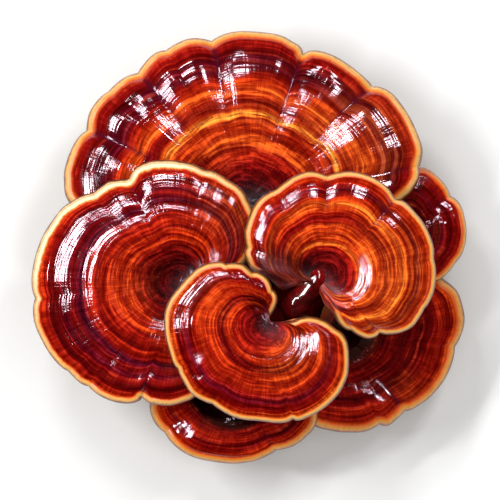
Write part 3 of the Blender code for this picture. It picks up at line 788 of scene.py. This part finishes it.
bottomCap = {
    "node": "cap_bottom", "seed": 53, "growthPoint": (-15, -56), "height": 53, "lean": 7, "heading": 262,
    "middle": 9.0, "rim": 5.0, "furrow": 1.8, "ridge": 0.1, "lipWidth": 3.0, "lipFade": 1.6,
    "profile": [(0, 0), (0.15, 0.0), (0.40, 2.0), (0.60, 3.0), (0.74, 2.6), (0.86, 1.6),
                (0.95, 0.1), (1, -1.6)],
    "ringDensity": 28, "ringDark": 0.45, "lineDark": 0.72, "lip": rustLipStops,
    # The near-black inner half is painted shade under the front cap
    "rings": [(0.0, "blackRed"), (0.48, "blackRed"), (0.54, "maroon"), (0.58, "oxblood"), (0.62, "crimson"),
              (0.65, "crimson"), (0.70, "ember"), (0.74, "crimson"), (0.78, "oxblood"), (0.81, "crimson"),
              (0.85, "ember"), (0.89, "redOrange"), (0.93, "flame"), (0.97, "orange"), (1.0, "amber")],
    "patches": [((-22, -76), 9, 0.2), ((-12, -60), 16, -1.1), ((10, -76), 10, -0.3), ((-50, -66), 10, -0.4)],
    "slopes": [((-23, -81), 10, 0.44, 103), ((-41, -79), 10, 0.32, 111),
               ((-45, -78.5), 5, 0.27, 109), ((-37.5, -83), 5, 0.26, 143)],
    "darkLipSpots": [((-11, -50), 10, 1.0)],
    "lobes": [
        (0.0, [(-11.5, -50), (-22, -47), (-35.5, -49.5), (-48, -56), (-55.5, -63), (-58, -70), (-55.5, -78)]),
        (0.5, [(-50.5, -83), (-45.5, -89.5), (-38, -94.5), (-29.5, -97), (-17, -98.5), (-7, -97.5),
               (0, -95)]),
        (0.7, [(5, -92), (9, -91.3), (14.5, -89.2), (20.5, -84.5), (24.5, -79.5), (26, -73), (25, -64.5),
               (19.5, -57), (9.5, -51), (-2, -48)]),
    ],
}
lowerRightCap = {
    "node": "cap_lower_right", "seed": 67, "growthPoint": (34.5, -32), "height": 42, "lean": 7,
    "heading": 322, "middle": 9.0, "rim": 5.5, "furrow": 2.0, "ridge": 0.1, "lipWidth": 3.3, "lipFade": 1.8,
    "profile": [(0, 0), (0.15, 0.0), (0.40, 2.0), (0.60, 3.0), (0.74, 2.7), (0.86, 1.7),
                (0.95, 0.1), (1, -1.6)],
    "ringDensity": 34, "ringDark": 0.48, "lineDark": 0.78, "lip": rustLipStops,
    # The near-black middle is painted shade under the right and front caps, partly the cap's own dark centre
    "rings": [(0.0, "blackRed"), (0.15, "maroon"), (0.28, "maroon"), (0.35, "oxblood"), (0.41, "crimson"),
              (0.45, "crimson"), (0.50, "crimson"), (0.55, "oxblood"), (0.60, "crimson"), (0.66, "oxblood"),
              (0.71, "crimson"), (0.76, "crimson"), (0.80, "ember"), (0.84, "ember"), (0.87, "crimson"),
              (0.895, "redOrange"), (0.92, "flame"), (0.95, "orange"), (1.0, "gold")],
    "patches": [((70, -62), 10, 0.35), ((60, -20), 22, -0.4), ((46, -32), 14, -0.9)],
    "slopes": [((46.5, -43.5), 8, 0.45, 118), ((46.5, -58.5), 8, 0.19, 111), ((60, -61), 15, 0.46, 108)],
    "darkLipSpots": [((26, -28), 14, 1.0)],
    "lobes": [
        (0.0, [(26, -28), (16, -42), (11, -52), (11, -63), (16, -73), (24, -79.5), (32, -82), (40.5, -83),
               (49.5, -82.5)]),
        (0.2, [(56.5, -79), (61, -79.5), (65, -76.5)]),
        (1.0, [(69.5, -72.3), (74, -71), (82.5, -65), (89, -57), (93, -48.5)]),
        (0.5, [(94.5, -40.5), (97.5, -34.5), (99, -28), (98.5, -22), (95.5, -13), (89, -7), (80, -1),
               (65, 1), (45, -3), (32, -14)]),
    ],
}
farRightCap = {
    "node": "cap_far_right", "seed": 79, "growthPoint": (63, 17), "height": 52, "lean": 8, "heading": 5,
    "middle": 8.5, "rim": 4.5, "furrow": 1.8, "ridge": 0.2, "lipWidth": 2.2, "lipFade": 1.7,
    "profile": [(0, 0), (0.15, 0.0), (0.45, 2.0), (0.66, 2.5), (0.84, 1.6), (0.95, 0.1), (1, -1.5)],
    "ringDensity": 24, "ringDark": 0.55, "lineDark": 0.80, "lip": rustLipStops,
    # The near-black middle is painted shade under the caps above, partly the cap's own dark centre
    "rings": [(0.0, "blackRed"), (0.40, "maroon"), (0.50, "oxblood"), (0.56, "oxblood"), (0.61, "crimson"),
              (0.66, "wine"), (0.70, "crimson"), (0.75, "oxblood"), (0.80, "crimson"), (0.85, "crimson"),
              (0.89, "ember"), (0.93, "flame"), (1.0, "orange")],
    "patches": [((78, 40), 10, -0.3)],
    "slopes": [((86, 24), 8, 0.31, 144), ((84, 18.5), 5, 0.12, 172)],
    "darkLipSpots": [((54, 13), 12, 1.0), ((80, 50), 9, 0.6)],
    "lobes": [
        (0.0, [(54.5, 13), (57, 4), (64.5, -4.5), (74.5, -9), (84.5, -8), (90.5, -3.5), (94.5, 1.5),
               (98, 6.5), (100, 14.5), (99.5, 22), (97, 30.5)]),
        (0.7, [(92, 35), (90, 39.5), (86, 44), (81, 48), (76, 49), (67, 45.5), (59.5, 35.5), (56, 22)]),
    ],
}
capPieces = {"Back": backCap, "Left": leftCap, "Right": rightCap, "Front": frontCap, "Bottom": bottomCap,
             "LowerRight": lowerRightCap, "FarRight": farRightCap}
for capName, cap in capPieces.items():
    makeCap(capName, {**capShared, **cap})


# Stems: glossy and dark, with slight growth swellings
stemMaking = {
    "width": 12.5, "footFlare": 1.2, "headFlare": 1.45, "sides": 64, "bands": 110, "baseHeight": 16.0,
    "sunk": 1.2, "swelling": 0.05, "endRound": 0.6,
}
stemPaths = {
    "Back": {"node": "stem_back", "foot": (-8, 23), "bends": []},
    "Left": {"node": "stem_left", "foot": (-25, -3), "bends": []},
    "Right": {"node": "stem_right", "foot": (10, -11),
              "bends": [(8, -23, 42), (9, -24, 62), (12, -21, 82.5), (16.8, -15, 86.4), (22, -8, 87.6),
                        (25.8, -4, 85.4)],
              "neckEnd": (29.5, -1, 77), "neckTurn": (4, 3, -8), "headFlare": 1.0, "endRound": 9.0,
              "flatSide": (-0.29, 0.09, 0.953)},
    "Front": {"node": "stem_front", "foot": (-8, -12), "bends": [(-9, -21, 56)]},
    "Bottom": {"node": "stem_bottom", "foot": (-5, -28), "bends": []},
    "LowerRight": {"node": "stem_lower_right", "foot": (24, -18), "bends": []},
    "FarRight": {"node": "stem_far_right", "foot": (28, 4), "bends": []},
}


def stemMaterial():
    material, tree, shader = newMaterial("lacqueredStem")
    swirl = noiseNode(tree, upward(tree, times(tree, attribute(tree, "growth"), 26.0)), 1.0, 2.0)
    mottle = noiseNode(tree, objectPlace(tree), 160, 3.0, 0.6)
    tone = plus(tree, times(tree, swirl, 0.5), times(tree, mottle, 0.5))
    skin = rampNode(tree, plus(tree, tone, times(tree, attribute(tree, "neckBlush"), 0.15)),
                    [(0.30, "blackRed"), (0.48, "maroon"), (0.60, "oxblood"), (0.80, "crimson"), (1.0, "ember")])
    plug(tree, shader.inputs["Base Color"], skin)
    plug(tree, shader.inputs["Roughness"], rangeNode(tree, mottle, 0.3, 0.7, 0.32, 0.48))
    plug(tree, shader.inputs["Coat Weight"], attribute(tree, "shine"))
    shader.inputs["Coat Roughness"].default_value = 0.08
    shader.inputs["Specular IOR Level"].default_value = 0.0
    raiseRelief(tree, shader, tone, 0.25)
    return material


def bezierRun(a, b, c, d, count):
    t = np.linspace(0, 1, count, endpoint=False)[:, None]
    return (1 - t) ** 3 * a + 3 * (1 - t) ** 2 * t * b + 3 * (1 - t) * t * t * c + t ** 3 * d


def stemLine(stem, cap):
    # From the base's top through the bends to the underside of the cap
    up = np.array([0.0, 0.0, 1.0])
    axis = np.array(leanTurn(cap) @ Vector((0, 0, 1)))
    foot = np.array([*stem["foot"], stemMaking["baseHeight"]], float)
    under = np.array([*cap["growthPoint"], cap["height"]], float) - axis * cap["middle"]
    keys = [foot + 3 * up, *[np.array(bend, float) for bend in stem["bends"]], under - 3 * axis]
    tangents = [up * np.linalg.norm(keys[1] - keys[0])]
    tangents += [(after - before) / 2 for before, after in zip(keys, keys[2:])]
    tangents.append(axis * np.linalg.norm(keys[-1] - keys[-2]))
    if "neckEnd" in stem:
        # This one rises into the notch of its cap and runs out on top of it
        keys[-1] = np.array(stem["neckEnd"], float)
        tangents[-1] = np.array(stem["neckTurn"], float)
        tangents[-2] = (keys[-1] - keys[-3]) / 2
        under, axis = keys[-1], tangents[-1] / np.linalg.norm(tangents[-1])
    line = [foot[None] - stemMaking["sunk"] * up]
    for a, b, ta, tb in zip(keys, keys[1:], tangents, tangents[1:]):
        line.append(bezierRun(a, a + ta / 3, b - tb / 3, b, 24))
    line.append(keys[-1][None])
    line.append((under + stemMaking["sunk"] * axis)[None])
    return np.vstack(line)


def alongLine(line, length, where):
    return np.column_stack([np.interp(where, length, line[:, axis]) for axis in range(3)])


def makeStem(name, stem, cap, material):
    line = stemLine(stem, cap)
    length = np.concatenate([[0], np.cumsum(np.linalg.norm(np.diff(line, axis=0), axis=1))])
    mesh, column, band = rolledSheet("stem" + name, stemMaking["sides"], stemMaking["bands"])
    turn = column / stemMaking["sides"] * 2 * np.pi
    share = band / stemMaking["bands"]
    run = share * length[-1]
    centre = alongLine(line, length, run)
    axis = alongLine(line, length, run + 0.5) - alongLine(line, length, run - 0.5)
    axis /= np.linalg.norm(axis, axis=1)[:, None]
    sideways = np.cross(np.array([0.0, 1.0, 0.0]), axis)
    sideways /= np.linalg.norm(sideways, axis=1)[:, None]
    across = np.cross(axis, sideways)
    headFlare = stem.get("headFlare", stemMaking["headFlare"])
    radius = stemMaking["width"] / 2 * (
        1 + (stemMaking["footFlare"] - 1) * smoothStep(0.35, 0.0, share)
        + (headFlare - 1) * smoothStep(0.65, 1.0, share))
    rounding = np.where(share < 0.5, stemMaking["endRound"], stem.get("endRound", stemMaking["endRound"]))
    fromEnd = np.clip(np.minimum(share, 1 - share) * length[-1] / rounding, 0, 1)
    radius *= np.sqrt(1 - (1 - fromEnd) ** 2)
    rounds = valueNoise(run / 5.5, turn * 0 + 3, cap["seed"])
    lumps = valueNoise(np.cos(turn) * 1.4 + 5, np.sin(turn) * 1.4 + share * 4 + 5, cap["seed"] + 9)
    radius *= (1 + stemMaking["swelling"] * rounds) * (1 + stemMaking["swelling"] * lumps)
    outward = np.cos(turn)[:, None] * sideways + np.sin(turn)[:, None] * across
    if "flatSide" in stem:
        facing = np.maximum(outward @ np.array(stem["flatSide"]), 0.3)
        radius *= 1 - 0.93 * (1 - np.minimum(1, 0.80 / facing)) * smoothStep(0.6, 0.78, share)
    place = centre + radius[:, None] * outward
    # Only the upper side of the upper half shines, and not where the neck passes into the cap
    shine = smoothStep(0.74, 0.92, outward[:, 2])
    shine *= smoothStep(0.5, 0.75, share) * smoothStep(0.93, 0.84, share)
    blush = smoothStep(0.76, 0.95, share) if "flatSide" in stem else share * 0
    markMesh(mesh, growth=share, shine=shine, neckBlush=blush)
    finishPiece("stem" + name + "Skin", mesh, place, material, stem["node"])


stemSkin = stemMaterial()
for stemName, stem in stemPaths.items():
    makeStem(stemName, stem, capPieces[stemName], stemSkin)
print("stems done")


# The base: a woody burl, cut flat underneath
burl = {
    "width": 82.0, "height": 16.0, "topShare": 0.84, "belly": 0.07, "sides": 260, "levels": 16,
    "roots": 5, "rootSwell": 0.055, "knots": 8, "knotSwell": 0.03, "sharpEdge": 50,
}


def baseMaterial():
    material, tree, shader = newMaterial("woodyBase")
    stretched = addNode(tree, "ShaderNodeMapping")
    stretched.inputs["Scale"].default_value = (1.0, 1.0, 0.35)
    plug(tree, stretched.inputs["Vector"], objectPlace(tree))
    grain = noiseNode(tree, stretched.outputs[0], 260, 5.0, 0.62)
    clumps = noiseNode(tree, objectPlace(tree), 60, 3.0)
    tone = plus(tree, times(tree, grain, 0.6), times(tree, clumps, 0.4))
    bark = rampNode(tree, tone, [(0.32, "barkDark"), (0.5, "bark"), (0.72, "cutFlesh")])
    fibres = noiseNode(tree, objectPlace(tree), 420, 4.0, 0.6)
    cut = mixColour(tree, rangeNode(tree, fibres, 0.35, 0.65, 0, 1), colour("cutFlesh"), colour("poreShade"))
    plug(tree, shader.inputs["Base Color"], mixColour(tree, attribute(tree, "cutFace"), bark, cut))
    plug(tree, shader.inputs["Roughness"], rangeNode(tree, tone, 0.3, 0.7, 0.85, 0.6))
    raiseRelief(tree, shader, tone, 0.8)
    return material


def makeBase():
    mesh, column, band = rolledSheet("burl", burl["sides"], burl["levels"] * 4)
    turn = column / burl["sides"] * 2 * np.pi
    # A quarter of the bands cover the cut, a quarter the top, and half the side
    step = band / burl["levels"]
    level = np.clip((step - 1) / 2, 0, 1)
    inner = np.clip(np.minimum(step, 4 - step), 0, 1)
    radius = burl["width"] / 2 * (1 + (burl["topShare"] - 1) * level)
    swell = burl["rootSwell"] * (1 - 0.6 * level) * np.cos(burl["roots"] * turn + 0.7)
    swell += burl["knotSwell"] * np.cos(burl["knots"] * turn + 2.0 + 1.5 * level)
    swell += burl["belly"] * np.sin(np.pi * level)
    swell -= 0.035 * smoothStep(0.75, 1.0, level)
    rough = valueNoise(np.cos(turn) * 5 + 9, np.sin(turn) * 5 + level * 3 + 9, 5)
    swell -= 0.018 * np.abs(rough) * smoothStep(0, 0.1, level)
    reach = radius * (1 + swell) * inner
    height = burl["height"] * level
    top = smoothStep(2.4, 3.0, step)
    lumps = valueNoise(reach * np.cos(turn) / 7 + 20, reach * np.sin(turn) / 7 + 20, 6)
    height = height - top * (0.35 + 0.35 * lumps)
    place = np.column_stack([reach * np.cos(turn), reach * np.sin(turn), height])
    markMesh(mesh, cutFace=(step < 0.98).astype(float))
    finishPiece("burlSkin", mesh, place, baseMaterial(), "base")
    mesh.set_sharp_from_angle(angle=math.radians(burl["sharpEdge"]))


makeBase()
print("base done")


# Floor, light and camera
studio = {
    "floorSize": 8.0, "floorTone": 0.94, "worldTone": 0.10,
    "cameraAbove": 8.0, "frameWidth": 0.2455, "frameCentre": (-0.008, 0.008), "frameLevel": 0.08,
    "softboxes": [
        {"name": "keySoftbox", "place": (-0.69, 0.20, 1.15), "size": (0.52, 0.09), "watts": 9.0},
        {"name": "leftSoftbox", "place": (-0.30, 0.65, 1.15), "size": (0.26, 0.09), "watts": 4.2},
        {"name": "rightSoftbox", "place": (0.38, 0.61, 1.15), "size": (0.24, 0.09), "watts": 3.8},
        {"name": "overheadFill", "place": (0.30, -0.40, 1.60), "size": (1.60, 1.60), "watts": 13.5,
         "mirrored": False},
    ],
}


def makeStudio():
    scene = bpy.context.scene
    bm = bmesh.new()
    bmesh.ops.create_grid(bm, x_segments=1, y_segments=1, size=studio["floorSize"] / 2)
    mesh = bpy.data.meshes.new("floor")
    bm.to_mesh(mesh)
    bm.free()
    floor = bpy.data.objects.new("floor", mesh)
    scene.collection.objects.link(floor)
    material, tree, shader = newMaterial("paleFloor")
    tone = studio["floorTone"]
    shader.inputs["Base Color"].default_value = (tone, tone, tone, 1.0)
    shader.inputs["Roughness"].default_value = 0.9
    mesh.materials.append(material)
    for box in studio["softboxes"]:
        light = bpy.data.lights.new(box["name"], "AREA")
        light.shape = "RECTANGLE"
        light.size, light.size_y = box["size"]
        light.energy = box["watts"]
        lamp = bpy.data.objects.new(box["name"], light)
        lamp.location = box["place"]
        lamp.visible_glossy = box.get("mirrored", True)
        aim = Vector((0, 0, 0.07)) - Vector(box["place"])
        lamp.rotation_euler = aim.to_track_quat("-Z", "Y").to_euler()
        scene.collection.objects.link(lamp)
    world = bpy.data.worlds.new("studioAir")
    world.use_nodes = True
    tone = studio["worldTone"]
    world.node_tree.nodes["Background"].inputs["Color"].default_value = (tone, tone, tone, 1.0)
    world.cycles_visibility.glossy = False
    scene.world = world
    camera = bpy.data.cameras.new("camera")
    camera.sensor_width = 36.0
    camera.lens = 36.0 * (studio["cameraAbove"] - studio["frameLevel"]) / studio["frameWidth"]
    camera.clip_end = 50.0
    viewer = bpy.data.objects.new("camera", camera)
    viewer.location = (*studio["frameCentre"], studio["cameraAbove"])
    scene.collection.objects.link(viewer)
    scene.camera = viewer
    scene.view_settings.view_transform = "Standard"


makeStudio()
print("studio done")
